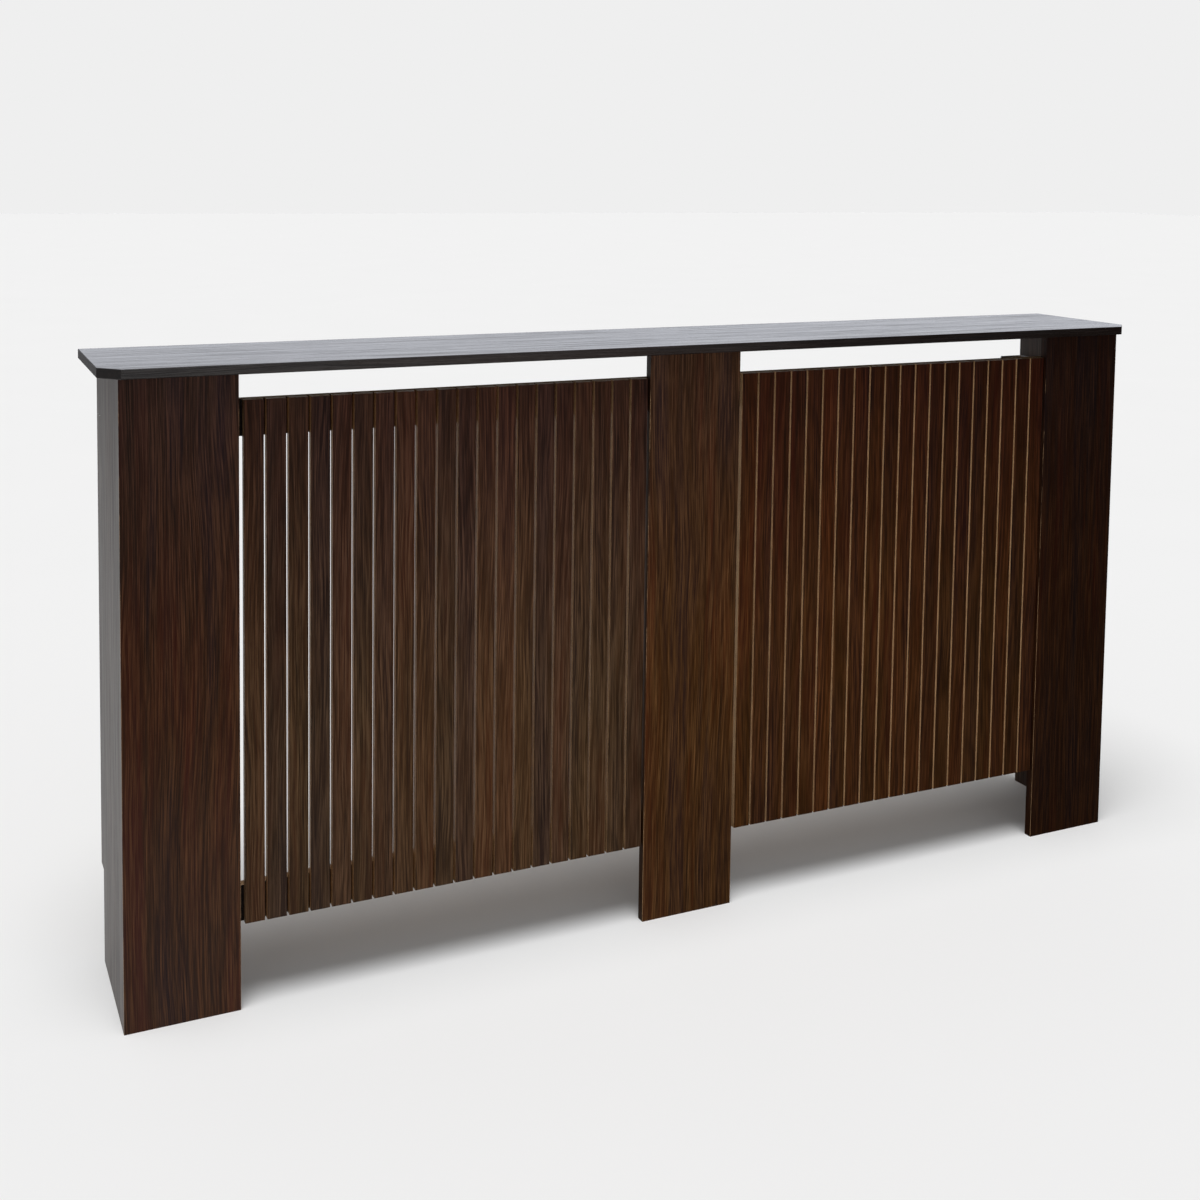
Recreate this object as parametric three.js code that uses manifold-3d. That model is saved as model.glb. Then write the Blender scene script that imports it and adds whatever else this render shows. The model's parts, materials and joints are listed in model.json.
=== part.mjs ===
// Radiator cover cabinet: an open-backed case of thin foil-wrapped board that stands over a wall radiator.
// Three full-height stiles form the front; their lower ends are the front feet.  Between them hang two
// slatted panels, each a row of upright slats fixed on an upper and a lower rail.  Warm air leaves through
// the slot under the top board, cool air enters under the slats, and the back and bottom are open.
// Millimetres, +Z up, +X along the length, the front faces -Y.  The origin is on the floor, under the
// middle of the top board.

import * as THREE from 'three';
import { mergeVertices } from 'three/addons/utils/BufferGeometryUtils.js';
import Module from 'manifold-3d';

// Top board
const topLength = 1520;
const topDepth = 210;
const topThickness = 12;
const topSideOverhang = 22;
const topFrontOverhang = 12;
const topCornerCut = 24;
const topArris = 1;

// Case
const caseHeight = 768;
const endPanelThickness = 12;
const skirtingNotchHeight = 120;
const skirtingNotchDepth = 22;

// Stiles: the middle one stands a little to the right of centre
const stileWidth = 136;
const stileThickness = 12;
const stileArris = 0.8;
const middleStileShift = 5;

// Slatted panels
const slatCount = 20;
const slatLeastGap = 2.4;
const slatThickness = 9;
const slatArris = 0.8;
const slatFloorGap = 104;
const slatTopSlot = 32;
const firstSlatGap = 6;
const lastSlatGap = 2.5;

// Rails behind the slats
const railHeight = 44;
const railThickness = 12;
const railLap = 30;

// Moulded corner blocks that screw one board to the next
const blockLeg = 18;
const blockRim = 7;
const blockLength = 34;
const blockFloor = 4;
const blockScrewInset = 12;
const blockScrewSpread = 9;
const blockScrewRadius = 2;
const blockHeadRadius = 3.8;
const rearBlockInset = 55;
const sideBlockHeight = 330;

// Folded steel brackets that hold the case to the wall
const bracketLeg = 40;
const bracketWidth = 24;
const bracketSheet = 2;
const bracketBend = 2;
const bracketDrop = 56;
const bracketHoleRadius = 2.5;
const bracketHoleInset = 14;
const bracketHolePitch = 16;
const bracketSlotLength = 14;
const bracketSlotInset = 26;

// Places that several pieces share
const topFront = -topDepth / 2;
const wallPlane = topDepth / 2;
const caseFront = topFront + topFrontOverhang;
const stileBack = caseFront + stileThickness;
const slatFront = stileBack - slatThickness;
const caseSide = topLength / 2 - topSideOverhang;
const panelInside = caseSide - endPanelThickness;
const slatLength = caseHeight - slatTopSlot - slatFloorGap;
const slatTop = slatFloorGap + slatLength;

const wasm = await Module();
wasm.setup();

const toRight = new THREE.Vector3(1, 0, 0);
const toLeft = new THREE.Vector3(-1, 0, 0);
const toBack = new THREE.Vector3(0, 1, 0);
const toFront = new THREE.Vector3(0, -1, 0);
const up = new THREE.Vector3(0, 0, 1);
const down = new THREE.Vector3(0, 0, -1);

const stileFoil = { color: 0x33241e, roughness: 0.42, metalness: 0 };
const slatFoil = { color: 0x3d2a1e, roughness: 0.45, metalness: 0 };
const topFoil = { color: 0x2c211e, roughness: 0.36, metalness: 0 };
const railBoard = { color: 0x63523f, roughness: 0.8, metalness: 0 };
const blockPlastic = { color: 0x2a2018, roughness: 0.55, metalness: 0 };
const bracketSteel = { color: 0xb4b6b8, roughness: 0.35, metalness: 0.9 };

const cover = new THREE.Group();

function addPiece(name, geometry, finish, x, y, z) {
  const mesh = new THREE.Mesh(geometry, new THREE.MeshStandardMaterial(finish));
  mesh.name = name;
  mesh.position.set(x, y, z);
  cover.add(mesh);
}

function turned(geometry, first, second) {
  const third = new THREE.Vector3().crossVectors(first, second);
  return geometry.applyMatrix4(new THREE.Matrix4().makeBasis(first, second, third));
}

function extruded(shape, depth, curveSegments = 3) {
  return new THREE.ExtrudeGeometry(shape, { depth, curveSegments, bevelEnabled: false });
}

// A board's cross-section: the two corners of its front edge (low y) are eased, the back ones stay square.
function easedSection(width, thickness, arris) {
  const section = new THREE.Shape();
  section.moveTo(arris, 0);
  section.lineTo(width - arris, 0);
  section.quadraticCurveTo(width, 0, width, arris);
  section.lineTo(width, thickness);
  section.lineTo(0, thickness);
  section.lineTo(0, arris);
  section.quadraticCurveTo(0, 0, arris, 0);
  return section;
}

function toSolid(geometry) {
  const bare = geometry.clone();
  bare.deleteAttribute('normal');
  bare.deleteAttribute('uv');
  const merged = mergeVertices(bare, 1e-4);
  const mesh = new wasm.Mesh({
    numProp: 3,
    vertProperties: new Float32Array(merged.attributes.position.array),
    triVerts: new Uint32Array(merged.index.array),
  });
  return new wasm.Manifold(mesh);
}

function cutFrom(geometry, cutters) {
  let solid = toSolid(geometry);
  for (const cutter of cutters) {
    solid = solid.subtract(toSolid(cutter));
  }
  const mesh = solid.getMesh();
  const result = new THREE.BufferGeometry();
  result.setAttribute('position', new THREE.BufferAttribute(mesh.vertProperties, 3));
  result.setIndex(new THREE.BufferAttribute(mesh.triVerts, 1));
  result.computeVertexNormals();
  return result;
}

// The top board: a plank whose two front corners are cut off at 45 degrees, its edges lightly eased.
const topOutline = new THREE.Shape();
topOutline.moveTo(-topLength / 2, wallPlane);
topOutline.lineTo(-topLength / 2, topFront + topCornerCut);
topOutline.lineTo(-topLength / 2 + topCornerCut, topFront);
topOutline.lineTo(topLength / 2 - topCornerCut, topFront);
topOutline.lineTo(topLength / 2, topFront + topCornerCut);
topOutline.lineTo(topLength / 2, wallPlane);
topOutline.closePath();
const topBoard = new THREE.ExtrudeGeometry(topOutline, {
  depth: topThickness - 2 * topArris,
  bevelThickness: topArris,
  bevelSize: topArris,
  bevelOffset: -topArris,
  bevelSegments: 3,
});
addPiece('top_board', topBoard, topFoil, 0, 0, caseHeight + topArris);

// End panels: they butt against the stiles' backs and are notched below to pass over the skirting board.
const endOutline = new THREE.Shape();
endOutline.moveTo(stileBack, 0);
endOutline.lineTo(wallPlane - skirtingNotchDepth, 0);
endOutline.lineTo(wallPlane - skirtingNotchDepth, skirtingNotchHeight);
endOutline.lineTo(wallPlane, skirtingNotchHeight);
endOutline.lineTo(wallPlane, caseHeight);
endOutline.lineTo(stileBack, caseHeight);
endOutline.closePath();
for (const [name, left] of [['left_end_panel', -caseSide], ['right_end_panel', panelInside]]) {
  const endPanel = turned(extruded(endOutline, endPanelThickness), toBack, up);
  addPiece(name, endPanel, stileFoil, left, 0, 0);
}

// Stiles: the outer two lie flush with the end panels' outer faces.
const stileLefts = {
  left_stile: -caseSide,
  middle_stile: middleStileShift - stileWidth / 2,
  right_stile: caseSide - stileWidth,
};
for (const [name, left] of Object.entries(stileLefts)) {
  const stile = extruded(easedSection(stileWidth, stileThickness, stileArris), caseHeight);
  addPiece(name, stile, stileFoil, left, caseFront, 0);
}

// Slatted panels: the slats' backs are level with the stiles' backs, so their faces stand a little deeper.
// All slats have one width, which fills the narrower panel at the least gap, and each panel spreads them
// evenly.  The rails lap behind the stiles on both sides, where they are screwed on.
const panels = {
  left: [stileLefts.left_stile + stileWidth, stileLefts.middle_stile],
  right: [stileLefts.middle_stile + stileWidth, stileLefts.right_stile],
};
const sideGaps = firstSlatGap + lastSlatGap;
const narrowestPanel = Math.min(...Object.values(panels).map(([from, to]) => to - from));
const slatWidth = (narrowestPanel - sideGaps - (slatCount - 1) * slatLeastGap) / slatCount;
for (const [side, [from, to]] of Object.entries(panels)) {
  const slatPitch = (to - from - sideGaps - slatWidth) / (slatCount - 1);
  for (let i = 0; i < slatCount; i += 1) {
    const slat = extruded(easedSection(slatWidth, slatThickness, slatArris), slatLength);
    const name = `${side}_slat_${String(i + 1).padStart(2, '0')}`;
    addPiece(name, slat, slatFoil, from + firstSlatGap + i * slatPitch, slatFront, slatFloorGap);
  }
  const railLength = to - from + 2 * railLap;
  const railBottoms = { upper: slatTop - railHeight, lower: slatFloorGap };
  for (const [level, bottom] of Object.entries(railBottoms)) {
    const rail = new THREE.BoxGeometry(railLength, railThickness, railHeight);
    const railMiddle = stileBack + railThickness / 2;
    addPiece(`${side}_${level}_rail`, rail, railBoard, (from + to) / 2, railMiddle, bottom + railHeight / 2);
  }
}

// Corner block: a moulded wedge with a flat face on each of the two boards that it joins.  Two screws go
// into the first board and one, between them, into the second, each head sunk in a round pocket.
// The block's corner is at its origin; the first board's face is the plane y = 0, the second's x = 0.
function cornerBlock() {
  const section = new THREE.Shape();
  section.moveTo(0, 0);
  section.lineTo(blockLeg, 0);
  section.lineTo(blockLeg, blockRim);
  section.lineTo(blockRim, blockLeg);
  section.lineTo(0, blockLeg);
  section.closePath();
  const body = extruded(section, blockLength);
  body.translate(0, 0, -blockLength / 2);
  const seatProfile = [
    new THREE.Vector2(0, -blockFloor),
    new THREE.Vector2(blockScrewRadius, -blockFloor),
    new THREE.Vector2(blockScrewRadius, blockFloor),
    new THREE.Vector2(blockHeadRadius, blockFloor),
    new THREE.Vector2(blockHeadRadius, 2 * blockLeg),
    new THREE.Vector2(0, 2 * blockLeg),
  ];
  const seat = () => new THREE.LatheGeometry(seatProfile, 20);
  return cutFrom(body, [
    seat().translate(blockScrewInset, 0, -blockScrewSpread),
    seat().translate(blockScrewInset, 0, blockScrewSpread),
    turned(seat(), toBack, toRight).translate(0, blockScrewInset, 0),
  ]);
}

// Top board to end panels, near the wall.
const rearBlockPlace = wallPlane - rearBlockInset;
const leftRearBlock = turned(cornerBlock(), toRight, down);
const rightRearBlock = turned(cornerBlock(), toLeft, down);
addPiece('left_rear_block', leftRearBlock, blockPlastic, -panelInside, rearBlockPlace, caseHeight);
addPiece('right_rear_block', rightRearBlock, blockPlastic, panelInside, rearBlockPlace, caseHeight);

// Top board to the backs of the stiles.
const outerBlockPlace = caseSide - stileWidth / 2;
const stileBlocks = { left: -outerBlockPlace, middle: middleStileShift, right: outerBlockPlace };
for (const [name, place] of Object.entries(stileBlocks)) {
  const topBlock = turned(cornerBlock(), toBack, down);
  addPiece(`${name}_top_block`, topBlock, blockPlastic, place, stileBack, caseHeight);
}

// End panels to the backs of the outer stiles, at mid-height.
const leftSideBlock = turned(cornerBlock(), toRight, toBack);
const rightSideBlock = turned(cornerBlock(), toLeft, toBack);
addPiece('left_side_block', leftSideBlock, blockPlastic, -panelInside, stileBack, sideBlockHeight);
addPiece('right_side_block', rightSideBlock, blockPlastic, panelInside, stileBack, sideBlockHeight);

// Wall bracket: a strip of steel folded to a right angle.  One leg lies on the end panel, the other is level
// with the case's rear edges and has an upright slot for the wall screw.
// The fold's outer corner is at its origin; the panel's face is the plane x = 0, the wall's y = 0.
function wallBracket() {
  const outerBend = bracketBend + bracketSheet;
  const section = new THREE.Shape();
  section.moveTo(outerBend, 0);
  section.lineTo(bracketLeg, 0);
  section.lineTo(bracketLeg, bracketSheet);
  section.lineTo(outerBend, bracketSheet);
  section.quadraticCurveTo(bracketSheet, bracketSheet, bracketSheet, outerBend);
  section.lineTo(bracketSheet, bracketLeg);
  section.lineTo(0, bracketLeg);
  section.lineTo(0, outerBend);
  section.quadraticCurveTo(0, 0, outerBend, 0);
  const strip = extruded(section, bracketWidth, 6);
  strip.translate(0, 0, -bracketWidth / 2);

  const cutters = [];
  for (const place of [bracketHoleInset, bracketHoleInset + bracketHolePitch]) {
    const hole = new THREE.CylinderGeometry(bracketHoleRadius, bracketHoleRadius, 4 * bracketSheet, 20);
    cutters.push(turned(hole, up, toRight).translate(0, place, 0));
  }
  const slotHalf = bracketSlotLength / 2 - bracketHoleRadius;
  const slot = new THREE.Shape();
  slot.absarc(0, slotHalf, bracketHoleRadius, 0, Math.PI, false);
  slot.absarc(0, -slotHalf, bracketHoleRadius, Math.PI, 2 * Math.PI, false);
  const slotCutter = extruded(slot, 4 * bracketSheet, 10);
  slotCutter.translate(0, 0, -2 * bracketSheet);
  cutters.push(turned(slotCutter, toRight, up).translate(bracketSlotInset, 0, 0));
  return cutFrom(strip, cutters);
}

const bracketPlace = caseHeight - bracketDrop - bracketWidth / 2;
const leftBracket = turned(wallBracket(), toRight, toFront);
const rightBracket = turned(wallBracket(), toLeft, toFront);
addPiece('left_wall_bracket', leftBracket, bracketSteel, -panelInside, wallPlane, bracketPlace);
addPiece('right_wall_bracket', rightBracket, bracketSteel, panelInside, wallPlane, bracketPlace);

export default cover;
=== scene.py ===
import json
import math

import bpy
from mathutils import Matrix, Vector

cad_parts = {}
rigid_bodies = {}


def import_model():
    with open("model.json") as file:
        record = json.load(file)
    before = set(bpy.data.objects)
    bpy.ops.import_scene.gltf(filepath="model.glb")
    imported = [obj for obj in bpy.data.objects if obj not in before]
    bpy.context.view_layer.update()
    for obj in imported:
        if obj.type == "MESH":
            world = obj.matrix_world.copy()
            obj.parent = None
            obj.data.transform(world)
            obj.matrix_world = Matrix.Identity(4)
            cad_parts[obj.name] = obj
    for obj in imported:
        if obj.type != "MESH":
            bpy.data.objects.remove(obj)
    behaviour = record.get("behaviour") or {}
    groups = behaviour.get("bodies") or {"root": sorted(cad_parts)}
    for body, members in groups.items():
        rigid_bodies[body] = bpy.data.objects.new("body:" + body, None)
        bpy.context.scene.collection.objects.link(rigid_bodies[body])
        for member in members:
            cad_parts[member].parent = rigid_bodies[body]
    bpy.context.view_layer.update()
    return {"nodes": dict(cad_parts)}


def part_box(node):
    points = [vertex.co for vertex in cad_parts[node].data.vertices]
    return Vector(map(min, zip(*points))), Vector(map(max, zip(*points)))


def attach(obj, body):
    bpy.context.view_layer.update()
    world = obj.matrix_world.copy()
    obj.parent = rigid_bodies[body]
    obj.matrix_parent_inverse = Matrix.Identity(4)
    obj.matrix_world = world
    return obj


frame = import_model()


# ---- Top board ---------------------------------------------------------------
# One 12 mm MDF board, its front corners sawn off at 45 degrees, wrapped all over
# in a dark walnut-print foil. The print's grain runs along the board. It is
# screwed down from below through the plastic corner blocks.

MM = 0.001
# sockets that share their name with another are reached by number: a Mix node's
# colours and its result, a plain Mix node's values, and the ends of a Map Range
COLOUR_A, COLOUR_B, MIXED = 6, 7, 2
VALUE_A, VALUE_B = 2, 3
FROM_LOW, FROM_HIGH, TO_LOW, TO_HIGH = 1, 2, 3, 4

# noise cells per metre across, through and along the grain: the grain's waver,
# bands 40 mm wide, streaks of 5 mm and pore lines of 1 mm
WAVER, BAND, STREAK, PORE = (7, 7, 2.6), (25, 12, 1.8), (190, 60, 4), (820, 240, 12)
UPRIGHT_TO_LENGTHWISE = (0, math.radians(90), 0)


def linear(code):
    """An sRGB hex colour as linear RGBA."""
    parts = [int(code[i:i + 2], 16) / 255 for i in (1, 3, 5)]
    return [c / 12.92 if c < 0.04045 else ((c + 0.055) / 1.055) ** 2.4 for c in parts] + [1]


def add(material, kind, inputs, out=0, **settings):
    """Adds one node and gives its output; an input is a plain value or another output."""
    node = material.node_tree.nodes.new("ShaderNode" + kind)
    for name, value in settings.items():
        setattr(node, name, value)
    for socket, value in inputs.items():
        if isinstance(value, bpy.types.NodeSocket):
            material.node_tree.links.new(value, node.inputs[socket])
        else:
            node.inputs[socket].default_value = value
    return node.outputs[out] if node.outputs else node


def blank(name):
    """A new material without nodes, to be filled with add()."""
    material = bpy.data.materials.new(name)
    material.use_nodes = True
    material.node_tree.nodes.clear()
    return material


def ramp(material, factor, *stops):
    """A colour ramp from (place, colour) stops; a colour is hex or a grey level."""
    out = add(material, "ValToRGB", {"Fac": factor})
    band = out.node.color_ramp.elements
    while len(band) < len(stops):
        band.new(0.5)
    for element, (place, colour) in zip(band, stops):
        element.position = place
        element.color = linear(colour) if isinstance(colour, str) else [colour] * 3 + [1]
    return out


def board_core(material, place):
    """Bare MDF: pressed wood fibre, tan, with a fine fleck of darker fibres."""
    # fibres are about 0.1 mm wide; drawn at 1 mm so that they show
    fleck = add(material, "TexNoise", {"Vector": place, "Scale": 900, "Detail": 3, "Roughness": 0.6})
    cloud = add(material, "TexNoise", {"Vector": place, "Scale": 35, "Detail": 2})
    cloudiness = 0.3
    level = add(material, "Math", {0: cloud, 1: cloudiness, 2: fleck}, operation="MULTIPLY_ADD")
    level = add(material, "Math", {0: level, 1: cloudiness / 2}, operation="SUBTRACT")
    return ramp(material, level, (0.35, "#7A6045"), (0.5, "#967757"), (0.65, "#AF8F6B"))


def foil_print(material, place, figure_at, shades):
    """The printed grain running along Z; gives its colour and its pores' height.

    figure_at is where the cathedral figure's middle lies across the grain, shades
    are the print's purple, brown and red cast and the colour of its pore lines.
    """
    split = add(material, "SeparateXYZ", {"Vector": place}).node.outputs
    # the noise seldom uses more than a fifth of its range, so that 30 mm of it
    # moves the grain aside by some 6 mm over a third of a metre
    wavering = 30 * MM
    slow = add(material, "Mapping", {"Vector": place, "Scale": WAVER})
    waver = add(material, "TexNoise", {"Vector": slow, "Scale": 1, "Detail": 2, "Roughness": 0.4})
    aside = add(material, "Math", {0: waver, 1: wavering, 2: -wavering / 2}, operation="MULTIPLY_ADD")
    across = add(material, "Math", {0: split["X"], 1: split["Y"]}, operation="ADD")
    bent = add(material, "Math", {0: across, 1: aside}, operation="ADD")

    # cathedral figure: growth rings cut by a flat board, nested arcs 110 mm apart
    # on the middle line and lines 3 to 4 mm apart at the board's edge
    rings_per_metre, rings_by_square, rings_by_waver = 9, 1900, 5
    from_middle = add(material, "Math", {0: bent, 1: figure_at}, operation="SUBTRACT")
    squared = add(material, "Math", {0: from_middle, 1: from_middle}, operation="MULTIPLY")
    wide = add(material, "Math", {0: squared, 1: rings_by_square}, operation="MULTIPLY")
    rings = add(material, "Math", {0: split["Z"], 1: rings_per_metre, 2: wide}, operation="MULTIPLY_ADD")
    loose = add(material, "Math", {0: waver, 1: rings_by_waver, 2: rings}, operation="MULTIPLY_ADD")
    turn = add(material, "Math", {0: loose, 1: 2 * math.pi}, operation="MULTIPLY")
    ring = add(material, "Math", {0: turn}, operation="SINE")

    strung = add(material, "CombineXYZ", {"X": bent, "Y": split["Y"], "Z": split["Z"]})
    band_at = add(material, "Mapping", {"Vector": strung, "Scale": BAND})
    band = add(material, "TexNoise", {"Vector": band_at, "Scale": 1, "Detail": 2})
    streak_at = add(material, "Mapping", {"Vector": strung, "Scale": STREAK})
    streak = add(material, "TexNoise", {"Vector": streak_at, "Scale": 1, "Detail": 2})
    pore_at = add(material, "Mapping", {"Vector": strung, "Scale": PORE})
    pore = add(material, "TexNoise", {"Vector": pore_at, "Scale": 1, "Detail": 3, "Roughness": 0.7})

    # the cast drifts from band to band, and a little from streak to streak
    streak_cast = 0.25
    cast = add(material, "Math", {0: streak, 1: streak_cast, 2: band}, operation="MULTIPLY_ADD")
    cast = add(material, "Math", {0: cast, 1: streak_cast / 2}, operation="SUBTRACT")
    purple, brown, red, light = shades
    ground = ramp(material, cast, (0.3, purple), (0.5, brown), (0.7, red))
    # streaks, bands and rings make it lighter and darker, in this order of weight
    least, streak_tone, band_tone, ring_tone = 0.1, 1.0, 0.6, 0.16
    tone = add(material, "Math", {0: streak, 1: streak_tone, 2: least}, operation="MULTIPLY_ADD")
    tone = add(material, "Math", {0: band, 1: band_tone, 2: tone}, operation="MULTIPLY_ADD")
    tone = add(material, "Math", {0: ring, 1: ring_tone, 2: tone}, operation="MULTIPLY_ADD")
    ground = add(material, "VectorMath", {0: ground, "Scale": tone}, operation="SCALE")
    # the pores are printed as thin lighter lines
    lines = add(material, "MapRange", {
        "Value": pore, FROM_LOW: 0.46, FROM_HIGH: 0.72, TO_LOW: 0.0, TO_HIGH: 0.9,
    })
    light = linear(light)
    colour = add(material, "Mix", {0: lines, COLOUR_A: ground, COLOUR_B: light}, MIXED, data_type="RGBA")
    grain = add(material, "Math", {0: pore, 1: streak}, operation="ADD")
    grain = add(material, "Math", {0: grain, 1: 0.5}, operation="MULTIPLY")
    return colour, grain


def tinted(material, colour, tint):
    """A colour multiplied by another."""
    inputs = {0: 1.0, COLOUR_A: colour, COLOUR_B: tint}
    return add(material, "Mix", inputs, MIXED, data_type="RGBA", blend_type="MULTIPLY")


def painted_light_by_height(material, colour, place, near_floor, near_top):
    """Painted light: tints a print from one colour near the floor to another under the top board, standing
    in for shade and reflection that change with height.
    """
    height = add(material, "SeparateXYZ", {"Vector": place}, "Z")
    up = add(material, "MapRange", {"Value": height, FROM_LOW: 0.35, FROM_HIGH: 0.7})
    return tinted(material, colour, ramp(material, up, (0.0, near_floor), (1.0, near_top)))


def looks_sideways(material):
    """1 where a face looks to the left or the right, 0 where it looks ahead or up."""
    normal = add(material, "NewGeometry", {}, "Normal")
    return add(material, "Math", {0: add(material, "SeparateXYZ", {"Vector": normal})}, operation="ABSOLUTE")


def foil(material, colour, height, roughness, pore_roughness, gloss, deep):
    """Closes a foil material: lacquer over the print, pores embossed, deep in mm."""
    pressed = add(material, "Bump", {"Height": height, "Strength": 0.35, "Distance": deep * MM})
    grades = add(material, "MapRange", {
        "Value": height, FROM_LOW: 0.44, FROM_HIGH: 0.51, TO_LOW: pore_roughness, TO_HIGH: roughness,
    })
    shader = add(material, "BsdfPrincipled", {
        "Base Color": colour, "Roughness": grades, "Normal": pressed,
        "IOR": 1.5, "Specular IOR Level": gloss,
    })
    add(material, "OutputMaterial", {"Surface": shader})
    return material


def dress(names, material):
    """Gives CAD nodes, whose shape stays, a material in each of their slots."""
    for name in names:
        node = frame["nodes"][name]
        node.data.materials.clear()
        node.data.materials.append(material)


# walnut-print foil on MDF: satin lacquer that mirrors the room at a low angle
top_foil = blank("walnut_foil_lengthwise")
place = add(top_foil, "TexCoord", {}, "Object")
lengthwise = add(top_foil, "Mapping", {"Vector": place, "Rotation": UPRIGHT_TO_LENGTHWISE})
colour, pores = foil_print(top_foil, lengthwise, 0.8, ("#141112", "#15100E", "#170F0C", "#2A2422"))
# the foil lies rough over the sawn ends and the cut corners, so they shine less
sideways = looks_sideways(top_foil)
dull, duller = (
    add(top_foil, "MapRange", {
        "Value": sideways, FROM_LOW: 0.3, FROM_HIGH: 0.6, TO_LOW: on_top, TO_HIGH: on_ends,
    })
    for on_top, on_ends in ((0.1, 0.6), (0.3, 0.65))
)
foil(top_foil, colour, pores, roughness=dull, pore_roughness=duller, gloss=0.5, deep=0.5)
dress(["top_board"], top_foil)


# ---- End panels and stiles ----------------------------------------------------
# The two end panels and the three upright stiles are cut from the same foiled
# 12 mm MDF, grain upright. The stiles are glued over the panels' front edges,
# and the panels are notched at the back to pass the skirting board.

def stile_board(name, figure_at, shades):
    """One stile's foil; each was cut from another place of the sheet, and its shades hold painted light,
    lightest on the middle stile and darkest on the right one.
    """
    material = blank(f"walnut_foil_{name}")
    place = add(material, "TexCoord", {}, "Object")
    colour, pores = foil_print(material, place, figure_at, shades)
    # painted reflection: the foil turns bluer and a little darker towards the top board, warmer lower down
    colour = painted_light_by_height(material, colour, place, "#FFFAE6", "#ECEAFF")
    # the foil is rubbed through here and there along the upright corners, most of
    # all low down, and this lighter line is also a painted highlight on the corners;
    # a corner is where a face looks half ahead and half sideways
    corner = add(material, "Math", {0: looks_sideways(material), 1: 0.7, 2: 0.12}, operation="COMPARE")
    height = add(material, "SeparateXYZ", {"Vector": place}, "Z")
    rubbed_and_highlit = add(material, "TexNoise", {"Vector": place, "Scale": 14, "Detail": 5, "Roughness": 0.65})
    less_per_metre_up = -0.22
    rubbed_and_highlit = add(material, "Math", {0: height, 1: less_per_metre_up, 2: rubbed_and_highlit}, operation="MULTIPLY_ADD")
    rubbed_and_highlit = ramp(material, rubbed_and_highlit, (0.36, 0.0), (0.46, 0.75))
    worn_and_highlit = add(material, "Math", {0: corner, 1: rubbed_and_highlit}, operation="MULTIPLY")
    core = board_core(material, place)
    colour = add(material, "Mix", {0: worn_and_highlit, COLOUR_A: colour, COLOUR_B: core}, MIXED, data_type="RGBA")
    return foil(material, colour, pores, roughness=0.34, pore_roughness=0.48, gloss=0.16, deep=0.15)


# painted light: the middle stile's shades are the lightest and the right stile's the darkest, as the light
# falls across the front
dress(["left_stile"], stile_board("left_stile", -0.69, ("#1C0E11", "#1F0F05", "#280E07", "#4A3020")))
dress(["middle_stile"], stile_board("middle_stile", -0.02, ("#1F110F", "#221205", "#291106", "#4D3520")))
dress(["right_stile"], stile_board("right_stile", 0.66, ("#150908", "#180903", "#1D0804", "#382213")))

for side, figure_at in (("left", -0.73), ("right", 0.76)):
    panel_foil = blank(f"walnut_foil_{side}_end_panel")
    place = add(panel_foil, "TexCoord", {}, "Object")
    colour, pores = foil_print(panel_foil, place, figure_at, ("#1B1314", "#1F150D", "#25130B", "#4C3D31"))
    foil(panel_foil, colour, pores, roughness=0.4, pore_roughness=0.5, gloss=0.3, deep=0.15)
    dress([f"{side}_end_panel"], panel_foil)


# ---- Slats -----------------------------------------------------------------------
# Forty strips sawn from 9 mm board with the foil on its front only, so each
# strip's sides, ends and back are bare MDF. They come from different places of
# the sheet, so no two neighbours match in grain or tone.

SLATS = 20   # on each side
SLAT_SKIN = 0.5 * MM   # foil and its glue


def slat_board(side, seed, shades, near_floor_and_top):
    """The foil and the core of one side's slats, which tells them apart by their place."""
    first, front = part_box(f"{side}_slat_01")[0].xy
    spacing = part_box(f"{side}_slat_02")[0].x - first
    material = blank(f"walnut_foil_slats_{side}")
    place = add(material, "TexCoord", {}, "Object")
    split = add(material, "SeparateXYZ", {"Vector": place}).node.outputs
    # which slat this is: its number, counted from inside the gap before the first
    past = add(material, "Math", {0: split["X"], 1: first - 1 * MM}, operation="SUBTRACT")
    count = add(material, "Math", {0: past, 1: spacing}, operation="DIVIDE")
    number = add(material, "Math", {0: count}, operation="FLOOR")
    seeded = add(material, "Math", {0: number, 1: seed}, operation="ADD")
    lot = add(material, "TexWhiteNoise", {"W": seeded}, noise_dimensions="1D").node.outputs
    # each slat gets its own place in the print, up to 60 mm off the figure's middle
    begins = add(material, "Math", {0: number, 1: spacing, 2: first}, operation="MULTIPLY_ADD")
    within = add(material, "Math", {0: split["X"], 1: begins}, operation="SUBTRACT")
    local = add(material, "CombineXYZ", {"X": within, "Y": split["Y"], "Z": split["Z"]})
    aside, along = 0.12, 3.0
    moved = add(material, "VectorMath", {
        0: lot["Color"], 1: (aside, 0.0, along), 2: (-aside / 2, 0.0, 0.0),
    }, operation="MULTIPLY_ADD")
    local = add(material, "VectorMath", {0: local, 1: moved}, operation="ADD")
    colour, pores = foil_print(material, local, -0.09, shades)
    # the slat's own lean to red, purple or olive, from its number
    lean = ramp(
        material, lot["Value"],
        (0.0, "#FFE6DA"), (0.3, "#DCD2DA"), (0.6, "#ECE4D6"), (1.0, "#FFEBDC"),
    )
    colour = tinted(material, colour, lean)
    # painted shade: the print goes from a darker red-brown under the top board to olive brown near the floor
    colour = painted_light_by_height(material, colour, place, *near_floor_and_top)
    # behind the skin on the front it is bare board
    bare = add(material, "Math", {0: split["Y"], 1: front + SLAT_SKIN}, operation="GREATER_THAN")
    core = board_core(material, place)
    surface = add(material, "Mix", {0: bare, COLOUR_A: colour, COLOUR_B: core}, MIXED, data_type="RGBA")
    return foil(material, surface, pores, roughness=0.4, pore_roughness=0.55, gloss=0.12, deep=0.15)


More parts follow.
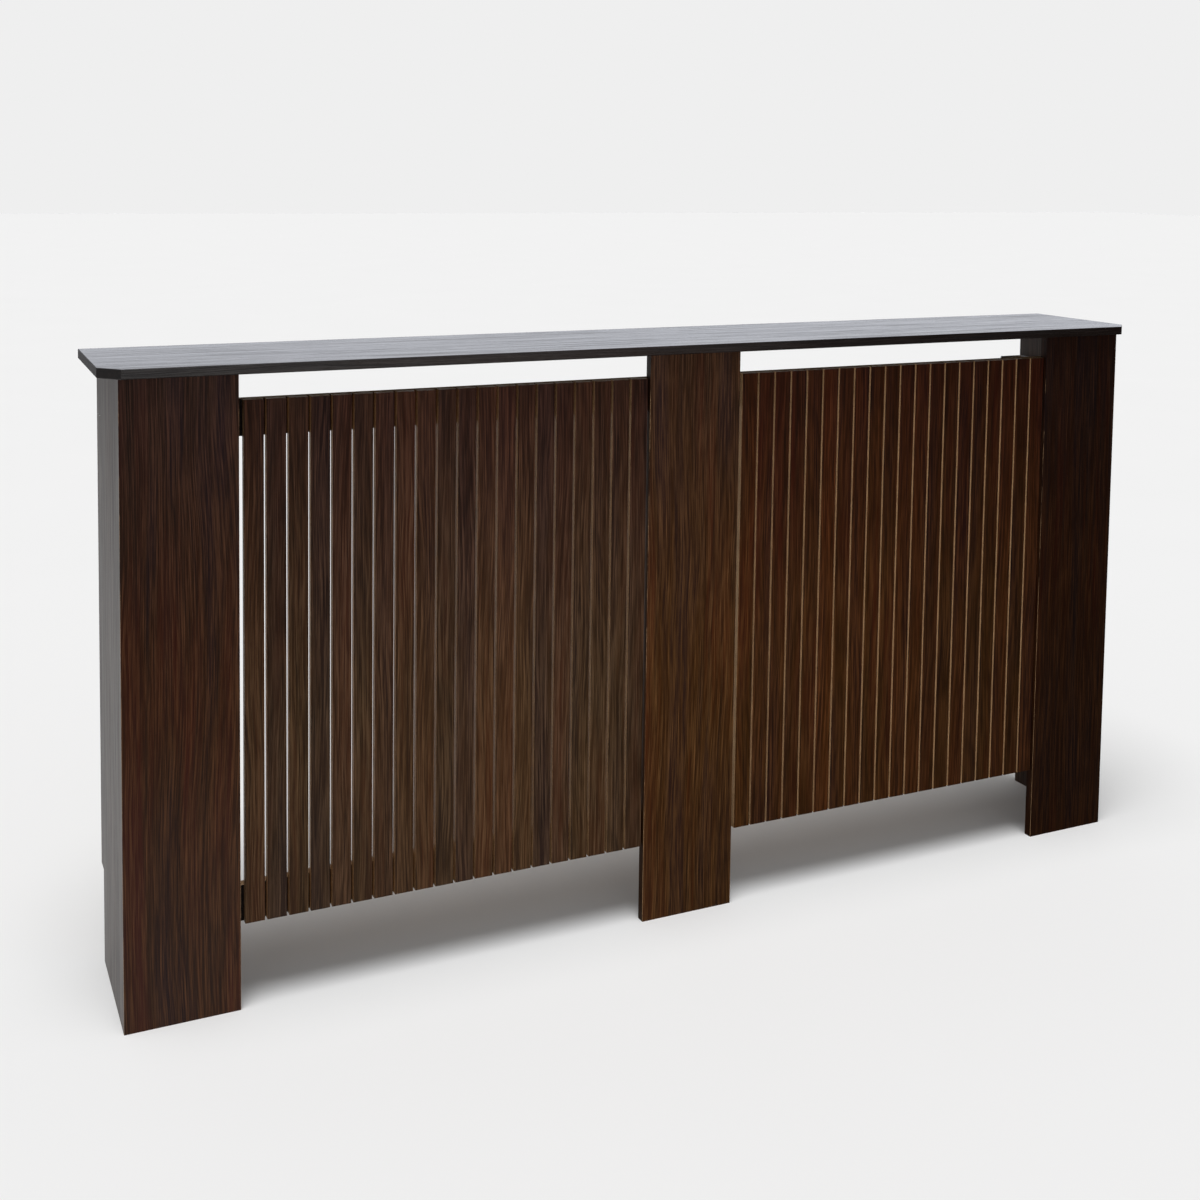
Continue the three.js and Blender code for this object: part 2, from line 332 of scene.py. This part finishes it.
# the left panel's boards are a little greener, the right one's redder and darker; the darker right is
# painted shade, as the light falls off to the right
for side, seed, shades in (
    ("left", 7.3, ("#2A1A12", "#2C1B0D", "#301A0D", "#5A422F")),
    ("right", 31.7, ("#26120B", "#2A1504", "#2F1206", "#5B381E")),
):
    slat_foil = slat_board(side, seed, shades, ("#E7F9FF", "#C8BDCC"))
    dress([f"{side}_slat_{number:02d}" for number in range(1, SLATS + 1)], slat_foil)


# ---- Rails -----------------------------------------------------------------------
# Two rails behind each run of slats hold it together. They are strips of the
# same board with a black-brown front, bare on the edges and the back, and lap
# behind the stiles.

rail_front, rail_back = (corner.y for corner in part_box("left_upper_rail"))
RAIL_SKIN = 0.3 * MM
rail_board = blank("black_faced_mdf")
place = add(rail_board, "TexCoord", {}, "Object")
lengthwise = add(rail_board, "Mapping", {"Vector": place, "Rotation": UPRIGHT_TO_LENGTHWISE})
face, pores = foil_print(rail_board, lengthwise, 0.2, ("#120D0C", "#15100E", "#1A120E", "#2A201A"))
back_from = add(rail_board, "SeparateXYZ", {"Vector": place}, "Y")
bare = add(rail_board, "Math", {0: back_from, 1: rail_front + RAIL_SKIN}, operation="GREATER_THAN")
core = board_core(rail_board, place)
surface = add(rail_board, "Mix", {0: bare, COLOUR_A: face, COLOUR_B: core}, MIXED, data_type="RGBA")
foil(rail_board, surface, pores, roughness=0.6, pore_roughness=0.7, gloss=0.1, deep=0.15)
dress([f"{side}_{level}_rail" for side in ("left", "right") for level in ("upper", "lower")], rail_board)


# ---- Staples ---------------------------------------------------------------------
# Each slat is glued to the rails and held by a wire staple shot through from the
# back of each rail. Galvanised wire; the crown lies just proud of the board.

def choose(piece, wanted):
    """Selects the faces of a piece, in edit mode, by their middle and normal."""
    bpy.ops.mesh.select_mode(type="FACE")
    bpy.ops.mesh.select_all(action="DESELECT")
    bpy.ops.object.mode_set(mode="OBJECT")
    for face in piece.data.polygons:
        face.select = wanted(face.center, face.normal)
    bpy.ops.object.mode_set(mode="EDIT")


def place_copy(pattern, name, matrix):
    """Puts a copy of a finished pattern piece, with its own mesh, on the cabinet."""
    piece = bpy.data.objects.new(name, pattern.data.copy())
    piece.data.transform(matrix)
    bpy.context.scene.collection.objects.link(piece)
    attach(piece, "root")
    return piece


# galvanised wire: dull grey zinc, drawn lengthwise
staple_wire = blank("galvanised_wire")
place = add(staple_wire, "TexCoord", {}, "Object")
drawn = add(staple_wire, "Mapping", {"Vector": place, "Scale": (150, 900, 900)})
lines = add(staple_wire, "TexNoise", {"Vector": drawn, "Scale": 1, "Detail": 2})
zinc = ramp(staple_wire, lines, (0.3, "#9A9C9C"), (0.7, "#B9BBBA"))
dulled = ramp(staple_wire, lines, (0.3, 0.35), (0.7, 0.5))
shader = add(staple_wire, "BsdfPrincipled", {"Base Color": zinc, "Metallic": 1.0, "Roughness": dulled})
add(staple_wire, "OutputMaterial", {"Surface": shader})

# in mm; the crown is flattened, and with its middle 0.2 above the board it is sunk
# in by 0.2 and stands 0.6 proud; the legs are cut short inside the board
CROWN_LONG, CROWN_WIDE, CROWN_HIGH, CROWN_MIDDLE = 11, 1.2, 0.8, 0.2
STAPLE_LEG, STAPLE_ROUND = 6, 0.25
leg_from = (CROWN_LONG / 2 - CROWN_WIDE) * MM
bpy.ops.object.select_all(action="DESELECT")
bpy.ops.mesh.primitive_cube_add(
    size=1, location=(0, 0, CROWN_MIDDLE * MM),
    scale=(CROWN_LONG * MM, CROWN_WIDE * MM, CROWN_HIGH * MM),
)
bpy.ops.object.transform_apply(location=True, rotation=True, scale=True)
staple = bpy.context.object
bpy.ops.object.mode_set(mode="EDIT")
for edge in (-1, 1):
    # two cuts across the crown mark off the legs
    bpy.ops.mesh.select_all(action="SELECT")
    bpy.ops.mesh.bisect(plane_co=(edge * leg_from, 0, 0), plane_no=(1, 0, 0))
choose(staple, lambda middle, normal: normal.z < -0.9 and abs(middle.x) > leg_from)
bpy.ops.mesh.extrude_region_move(TRANSFORM_OT_translate={"value": (0, 0, -STAPLE_LEG * MM)})
bpy.ops.object.mode_set(mode="OBJECT")
rounded = staple.modifiers.new("rounded", "BEVEL")
rounded.width, rounded.segments, rounded.limit_method = STAPLE_ROUND * MM, 2, "ANGLE"
bpy.ops.object.modifier_apply(modifier="rounded")
bpy.ops.object.shade_smooth_by_angle(angle=math.radians(40))
staple.data.materials.append(staple_wire)

turned_back = Matrix.Rotation(math.radians(-90), 4, "X")
for side in ("left", "right"):
    for level in ("upper", "lower"):
        low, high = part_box(f"{side}_{level}_rail")
        for number in range(SLATS):
            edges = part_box(f"{side}_slat_{number + 1:02d}")
            across = (edges[0].x + edges[1].x) / 2
            # shot by hand: each sits a little up or down, and slightly askew
            up = (low.z + high.z) / 2 + (number * 7 % 5 - 2) * 1.6 * MM
            askew = Matrix.Rotation(math.radians((number * 11 % 7 - 3) * 2.5), 4, "Y")
            seat = Matrix.Translation((across, rail_back, up)) @ askew @ turned_back
            place_copy(staple, f"{side}_{level}_staple_{number + 1:02d}", seat)
bpy.data.objects.remove(staple)


# ---- Corner blocks -----------------------------------------------------------------
# Small hollow blocks moulded in brown plastic, screwed into two boards at right
# angles to hold the corner between them.

block_plastic = blank("moulded_brown_polypropylene")
place = add(block_plastic, "TexCoord", {}, "Object")
# spark-eroded mould texture, about 0.3 mm; drawn at 0.6 mm
texture = add(block_plastic, "TexNoise", {"Vector": place, "Scale": 1600, "Detail": 2})
flow = add(block_plastic, "TexNoise", {"Vector": place, "Scale": 60, "Detail": 2})
brown = ramp(block_plastic, flow, (0.3, "#3B2A20"), (0.7, "#4A362A"))
grained = add(block_plastic, "Bump", {"Height": texture, "Strength": 0.3, "Distance": 0.1 * MM})
sheen = ramp(block_plastic, texture, (0.3, 0.42), (0.7, 0.55))
shader = add(block_plastic, "BsdfPrincipled", {
    "Base Color": brown, "Roughness": sheen, "Normal": grained, "IOR": 1.49,
})
add(block_plastic, "OutputMaterial", {"Surface": shader})
dress([name for name in frame["nodes"] if name.endswith("_block")], block_plastic)


# ---- Wall brackets ------------------------------------------------------------------
# Two angles folded from 2 mm zinc-plated steel, screwed inside the end panels;
# the upright slot in the other leg drops over a screw in the wall.

bracket_steel = blank("zinc_plated_steel")
place = add(bracket_steel, "TexCoord", {}, "Object")
# zinc spangle, 2 to 4 mm, and fine rolling lines
spangle = add(bracket_steel, "TexVoronoi", {"Vector": place, "Scale": 350}, "Color", feature="F1")
drawn = add(bracket_steel, "Mapping", {"Vector": place, "Scale": (200, 200, 1800)})
lines = add(bracket_steel, "TexNoise", {"Vector": drawn, "Scale": 1, "Detail": 3})
zinc = ramp(bracket_steel, spangle, (0.2, "#B3B6B8"), (0.8, "#C9CBCB"))
rolled = add(bracket_steel, "Bump", {"Height": lines, "Strength": 0.15, "Distance": 0.05 * MM})
dulled = ramp(bracket_steel, lines, (0.3, 0.28), (0.7, 0.42))
shader = add(bracket_steel, "BsdfPrincipled", {
    "Base Color": zinc, "Metallic": 1.0, "Roughness": dulled, "Normal": rolled,
})
add(bracket_steel, "OutputMaterial", {"Surface": shader})
dress(["left_wall_bracket", "right_wall_bracket"], bracket_steel)


# ---- Screws ------------------------------------------------------------------------
# Pan-head cross-recess wood screws, 3.5 by 15 mm, bright zinc plated. They hold the
# corner blocks, the wall brackets and the ends of the rails behind the stiles.

# bright zinc over steel: smooth, faintly blue, with fine turning marks
screw_steel = blank("bright_zinc_screw")
place = add(screw_steel, "TexCoord", {}, "Object")
marks = add(screw_steel, "TexNoise", {"Vector": place, "Scale": 1500, "Detail": 2})
zinc = ramp(screw_steel, marks, (0.3, "#BFC2C4"), (0.7, "#D2D3D2"))
dulled = ramp(screw_steel, marks, (0.3, 0.2), (0.7, 0.34))
shader = add(screw_steel, "BsdfPrincipled", {"Base Color": zinc, "Metallic": 1.0, "Roughness": dulled})
add(screw_steel, "OutputMaterial", {"Surface": shader})

# in mm: radii of head and shank, the head's height, its domed middle, and the
# lengths of the shank and its point
HEAD, SHANK, HEAD_HIGH, DOME_IN, DOME_UP = 3.5, 1.7, 2.0, 1.1, 0.35
SHANK_LONG, POINT_LONG, HEAD_ROUND = 11, 4, 0.35
# in mm: the driver's cross, and how high its blades' middle stands
BLADE_LONG, BLADE_WIDE, BLADE_HIGH, BLADE_MIDDLE = 4.2, 0.8, 2.4, 2.1
bpy.ops.object.select_all(action="DESELECT")
bpy.ops.mesh.primitive_cylinder_add(
    vertices=28, radius=HEAD * MM, depth=HEAD_HIGH * MM, location=(0, 0, HEAD_HIGH / 2 * MM),
)
bpy.ops.object.transform_apply(location=True, rotation=True, scale=True)
screw = bpy.context.object
bpy.ops.object.mode_set(mode="EDIT")
choose(screw, lambda middle, normal: normal.z > 0.9)
bpy.ops.mesh.inset(thickness=DOME_IN * MM)
bpy.ops.transform.translate(value=(0, 0, DOME_UP * MM))
choose(screw, lambda middle, normal: normal.z < -0.9)
bpy.ops.mesh.inset(thickness=(HEAD - SHANK) * MM)
bpy.ops.mesh.extrude_region_move(TRANSFORM_OT_translate={"value": (0, 0, -SHANK_LONG * MM)})
bpy.ops.mesh.extrude_region_move(TRANSFORM_OT_translate={"value": (0, 0, -POINT_LONG * MM)})
bpy.ops.transform.resize(value=(0.1, 0.1, 1))
bpy.ops.object.mode_set(mode="OBJECT")
rounded = screw.modifiers.new("rounded", "BEVEL")
rounded.width, rounded.segments = HEAD_ROUND * MM, 2
rounded.limit_method, rounded.angle_limit = "ANGLE", math.radians(50)
bpy.ops.object.modifier_apply(modifier="rounded")
for turn in (0, 90):
    # one blade of the driver's cross, narrower at its foot
    bpy.ops.mesh.primitive_cube_add(
        size=1, location=(0, 0, BLADE_MIDDLE * MM),
        scale=(BLADE_LONG * MM, BLADE_WIDE * MM, BLADE_HIGH * MM),
    )
    bpy.ops.object.transform_apply(location=True, rotation=True, scale=True)
    blade = bpy.context.object
    bpy.ops.object.mode_set(mode="EDIT")
    choose(blade, lambda middle, normal: normal.z < -0.9)
    bpy.ops.transform.resize(value=(0.4, 0.7, 1))
    bpy.ops.object.mode_set(mode="OBJECT")
    blade.data.transform(Matrix.Rotation(math.radians(turn), 4, "Z"))
    recess = screw.modifiers.new("recess", "BOOLEAN")
    recess.operation, recess.object, recess.solver = "DIFFERENCE", blade, "EXACT"
    bpy.ops.object.select_all(action="DESELECT")
    bpy.context.view_layer.objects.active = screw
    bpy.ops.object.modifier_apply(modifier="recess")
    bpy.data.objects.remove(blade)
screw.select_set(True)
bpy.ops.object.shade_smooth_by_angle(angle=math.radians(35))
screw.data.materials.clear()
screw.data.materials.append(screw_steel)


def middle_of(name):
    """The middle of a CAD node's box."""
    low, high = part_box(name)
    return (low + high) / 2


# where each screw's head sits, and which way it looks. In a block the heads sit on
# its 4 mm floor, 12 mm out from the other board, single or in pairs 18 mm apart
BLOCK_FLOOR, BLOCK_INSET, BLOCK_SPREAD = 4 * MM, 12 * MM, 9 * MM
BRACKET_SHEET, BRACKET_HOLES = 2 * MM, (30 * MM, 14 * MM)   # the holes' distance from the wall
RAIL_SPREAD = 12 * MM
DOWN, BACK = (0, 0, -1), (0, 1, 0)
under_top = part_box("top_board")[0].z
stile_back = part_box("middle_stile")[1].y
screws = {}
for side, hand in (("left", -1), ("right", 1)):
    inward = (-hand, 0, 0)
    # the end panel's inner face, which the rear block lies on
    panel_face = hand * max(abs(corner.x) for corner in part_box(f"{side}_rear_block"))
    off_panel = panel_face - hand * BLOCK_INSET
    on_panel = panel_face - hand * BLOCK_FLOOR
    rear_block = middle_of(f"{side}_rear_block")
    side_block = middle_of(f"{side}_side_block")
    bracket = middle_of(f"{side}_wall_bracket")
    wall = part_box(f"{side}_wall_bracket")[1].y
    for number, (aside, hole) in enumerate(zip((-BLOCK_SPREAD, BLOCK_SPREAD), BRACKET_HOLES), 1):
        top_screw = (off_panel, rear_block.y + aside, under_top - BLOCK_FLOOR)
        stile_screw = (off_panel, stile_back + BLOCK_FLOOR, side_block.z + aside)
        bracket_screw = (panel_face - hand * BRACKET_SHEET, wall - hole, bracket.z)
        screws[f"{side}_rear_top_screw_{number}"] = (top_screw, DOWN)
        screws[f"{side}_side_stile_screw_{number}"] = (stile_screw, BACK)
        screws[f"{side}_bracket_screw_{number}"] = (bracket_screw, inward)
    screws[f"{side}_rear_panel_screw"] = ((on_panel, rear_block.y, under_top - BLOCK_INSET), inward)
    screws[f"{side}_side_panel_screw"] = ((on_panel, stile_back + BLOCK_INSET, side_block.z), inward)
for name in ("left", "middle", "right"):
    across = middle_of(f"{name}_stile").x
    for number, aside in enumerate((-BLOCK_SPREAD, BLOCK_SPREAD), 1):
        top_screw = (across + aside, stile_back + BLOCK_INSET, under_top - BLOCK_FLOOR)
        screws[f"{name}_stile_top_screw_{number}"] = (top_screw, DOWN)
    screws[f"{name}_stile_screw"] = ((across, stile_back + BLOCK_FLOOR, under_top - BLOCK_INSET), BACK)
for end, rail, rail_end, stile, stile_edge in (
    ("left_outer", "left", 0, "left", 1),
    ("left_inner", "left", 1, "middle", 0),
    ("right_inner", "right", 0, "middle", 1),
    ("right_outer", "right", 1, "right", 0),
):
    # halfway along the lap of the rail's end behind the stile
    across = (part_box(f"{rail}_upper_rail")[rail_end].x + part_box(f"{stile}_stile")[stile_edge].x) / 2
    for level in ("upper", "lower"):
        middle = middle_of(f"{rail}_{level}_rail").z
        for number, off in enumerate((-RAIL_SPREAD, RAIL_SPREAD), 1):
            screws[f"{end}_{level}_rail_screw_{number}"] = ((across, rail_back, middle + off), BACK)
for number, (name, (seat, outward)) in enumerate(screws.items()):
    # no two crosses stop at the same turn
    driven = Matrix.Rotation(math.radians(number * 37 % 90), 4, "Z")
    aimed = Vector(outward).to_track_quat("Z", "Y").to_matrix().to_4x4()
    place_copy(screw, name, Matrix.Translation(seat) @ aimed @ driven)
bpy.data.objects.remove(screw)


# ---- Floor, light and camera -----------------------------------------------------------
# A plain pale floor that runs out of sight under a pale sky, a wide soft sun from
# the front left, four soft lamps on the cabinet alone, and the camera where the
# photograph was taken.

def soft_zones(material, *rows):
    """Soft-edged zones: each name's level rises or falls between two places."""
    zones = {}
    for name, along, begins, ends, lowest, highest in rows:
        zones[name] = add(material, "MapRange", {
            "Value": along, FROM_LOW: begins, FROM_HIGH: ends, TO_LOW: lowest, TO_HIGH: highest,
        }, interpolation_type="SMOOTHSTEP")
    return zones


bpy.ops.object.select_all(action="DESELECT")
bpy.ops.mesh.primitive_plane_add(size=60, location=(0, 0, 0))
floor = bpy.context.object
floor.name = "floor"
floor_paint = blank("matt_floor_paint")
place = add(floor_paint, "TexCoord", {}, "Object")
mottle = add(floor_paint, "TexNoise", {"Vector": place, "Scale": 2, "Detail": 2})
grey = ramp(floor_paint, mottle, (0.0, "#EEEEEE"), (1.0, "#F0F0F0"))
path = add(floor_paint, "LightPath", {}).node.outputs
# in the cabinet's lacquer alone, the studio floor is bright close by at the front
# left and again past 4 m, dark between and to the right, and grey behind
split = add(floor_paint, "SeparateXYZ", {"Vector": place}).node.outputs
zone = soft_zones(
    floor_paint,
    ("near", split["Y"], -1.2, -0.5, 0.06, 1.0),
    ("left", split["X"], 0.2, -0.6, 0.06, 1.0),
    ("outer", split["X"], -3.0, -1.5, 0.0, 1.0),
    ("far", split["Y"], -3.0, -5.5, 0.0, 1.0),
    ("inner", split["X"], 4.0, 1.5, 0.0, 1.0),
    ("behind", split["Y"], 0.1, 0.25, 0.0, 0.1),
)
close = add(floor_paint, "Math", {0: zone["near"], 1: zone["left"]}, operation="MULTIPLY")
close = add(floor_paint, "Math", {0: close, 1: zone["outer"]}, operation="MULTIPLY")
distant = add(floor_paint, "Math", {0: zone["far"], 1: zone["inner"]}, operation="MULTIPLY")
distant = add(floor_paint, "Math", {0: distant, 1: zone["outer"]}, operation="MULTIPLY")
lit = add(floor_paint, "Math", {0: close, 1: distant}, operation="MAXIMUM")
lit = add(floor_paint, "Math", {0: lit, 1: zone["behind"]}, operation="MAXIMUM")
mirrored = add(floor_paint, "Mix", {0: path["Is Glossy Ray"], VALUE_A: 1.0, VALUE_B: lit}, data_type="FLOAT")
grey = add(floor_paint, "VectorMath", {0: grey, "Scale": mirrored}, operation="SCALE")
pale = add(floor_paint, "BsdfPrincipled", {
    "Base Color": grey, "Roughness": 0.9, "Specular IOR Level": 0.0,
})
# it looks pale, but throws less light back up at the cabinet than a white floor would
dim = add(floor_paint, "BsdfPrincipled", {
    "Base Color": linear("#7A7A7A"), "Roughness": 0.9, "Specular IOR Level": 0.0,
})
seen = add(floor_paint, "Math", {0: path["Is Camera Ray"], 1: path["Is Glossy Ray"]}, operation="ADD")
seen = add(floor_paint, "Math", {0: seen, 1: path["Is Transmission Ray"]}, operation="ADD", use_clamp=True)
shader = add(floor_paint, "MixShader", {0: seen, 1: dim, 2: pale})
add(floor_paint, "OutputMaterial", {"Surface": shader})
floor.data.materials.append(floor_paint)

world = bpy.context.scene.world or bpy.data.worlds.new("sky")
bpy.context.scene.world = world
world.use_nodes = True
world.node_tree.nodes.clear()
path = add(world, "LightPath", {}).node.outputs
seen = add(world, "Math", {0: path["Is Camera Ray"], 1: path["Is Glossy Ray"]}, operation="ADD")
seen = add(world, "Math", {0: seen, 1: path["Is Transmission Ray"]}, operation="ADD", use_clamp=True)
toward = add(world, "TexCoord", {}, "Generated")
split = add(world, "SeparateXYZ", {"Vector": toward}).node.outputs
# mirrored in the lacquer, the room is pale behind and straight in front, dark
# to the left and the right
zone = soft_zones(
    world,
    ("behind", split["Y"], 0.1, 0.5, 0.06, 1.0),
    ("above", split["Z"], -0.03, 0.05, 0.3, 1.0),
    ("ahead", split["Y"], -0.6, -0.9, 0.0, 1.0),
    ("inner", split["X"], 0.62, 0.4, 0.0, 1.0),
)
behind = add(world, "Math", {0: zone["behind"], 1: zone["above"]}, operation="MULTIPLY")
in_front = add(world, "Math", {0: zone["ahead"], 1: zone["inner"]}, operation="MULTIPLY")
mirrored = add(world, "Math", {0: behind, 1: in_front}, operation="MAXIMUM")
mirrored = add(world, "Mix", {0: path["Is Glossy Ray"], VALUE_A: 1.0, VALUE_B: mirrored}, data_type="FLOAT")
tint = add(world, "Mix", {
    0: path["Is Glossy Ray"], COLOUR_A: linear("#EFEFEF"), COLOUR_B: linear("#F3F6FF"),
}, MIXED, data_type="RGBA")
shown = add(world, "Background", {"Color": tint, "Strength": mirrored})
# as a light, the sky is a little stronger in front of the cabinet than behind it
evenly = add(world, "Math", {0: split["Y"], 1: -0.08, 2: 0.27}, operation="MULTIPLY_ADD")
lighting = add(world, "Background", {"Color": linear("#FFFFFF"), "Strength": evenly})
sky = add(world, "MixShader", {0: seen, 1: lighting, 2: shown})
add(world, "OutputWorld", {"Surface": sky})

sun = bpy.data.lights.new("soft_sun", "SUN")
sun.energy = 2.46
sun.angle = math.radians(35)
sun_object = bpy.data.objects.new("soft_sun", sun)
sun_object.rotation_euler = (math.radians(14), 0, math.radians(-40))
bpy.context.scene.collection.objects.link(sun_object)

# the soft lamps light the cabinet alone, so that the floor stays even: one at the
# front, one behind for the bare backs of the boards, one at each end
cabinet = bpy.data.collections.new("cabinet")
for piece in bpy.context.scene.objects:
    if piece.type == "MESH" and piece != floor:
        cabinet.objects.link(piece)
for name, watts, size, stands, looks in (
    ("front_softbox", 12.5, 0.5, (-0.12, -1.0, 0.34), (-0.12, -0.09, 0.34)),
    ("back_softbox", 24, 1.2, (0.0, 2.3, 0.9), (0.0, 0.0, 0.45)),
    ("left_softbox", 16, 1.0, (-2.7, 0.3, 0.7), (-0.75, 0.05, 0.4)),
    ("right_softbox", 16, 1.0, (2.7, 0.3, 0.7), (0.75, 0.05, 0.4)),
):
    lamp = bpy.data.lights.new(name, "AREA")
    lamp.size = size
    lamp.energy = watts
    lamp_object = bpy.data.objects.new(name, lamp)
    lamp_object.location = stands
    lamp_object.rotation_euler = (Vector(looks) - Vector(stands)).to_track_quat("-Z", "Y").to_euler()
    lamp_object.visible_camera = False
    lamp_object.visible_glossy = False
    bpy.context.scene.collection.objects.link(lamp_object)
    lamp_object.light_linking.receiver_collection = cabinet

# the camera stands 1 m up, in front of the left end, and looks slightly down and to
# the right; its lens is shifted down, so that the uprights lean in only a little
CAMERA_AT = (-0.95927, -1.80263, 1.00783)
eye = bpy.data.cameras.new("photo_camera")
camera = bpy.data.objects.new("photo_camera", eye)
bpy.context.scene.collection.objects.link(camera)
eye.sensor_width = 36
eye.sensor_fit = "HORIZONTAL"
eye.lens = 44.421
eye.shift_x = 0.0356
eye.shift_y = -0.2721
eye.clip_start, eye.clip_end = 0.05, 100
yaw, pitch, roll = (math.radians(degrees) for degrees in (23.98, 4.0, 0.65))
ahead = Vector((math.sin(yaw) * math.cos(pitch), math.cos(yaw) * math.cos(pitch), -math.sin(pitch)))
right = Vector((math.cos(yaw), -math.sin(yaw), 0))
up = Vector((math.sin(yaw) * math.sin(pitch), math.cos(yaw) * math.sin(pitch), math.cos(pitch)))
right_rolled = right * math.cos(roll) + up * math.sin(roll)
up_rolled = up * math.cos(roll) - right * math.sin(roll)
facing = Matrix((right_rolled, up_rolled, -ahead)).transposed().to_4x4()
camera.matrix_world = Matrix.Translation(CAMERA_AT) @ facing
bpy.context.scene.camera = camera
bpy.context.scene.view_settings.view_transform = "Standard"
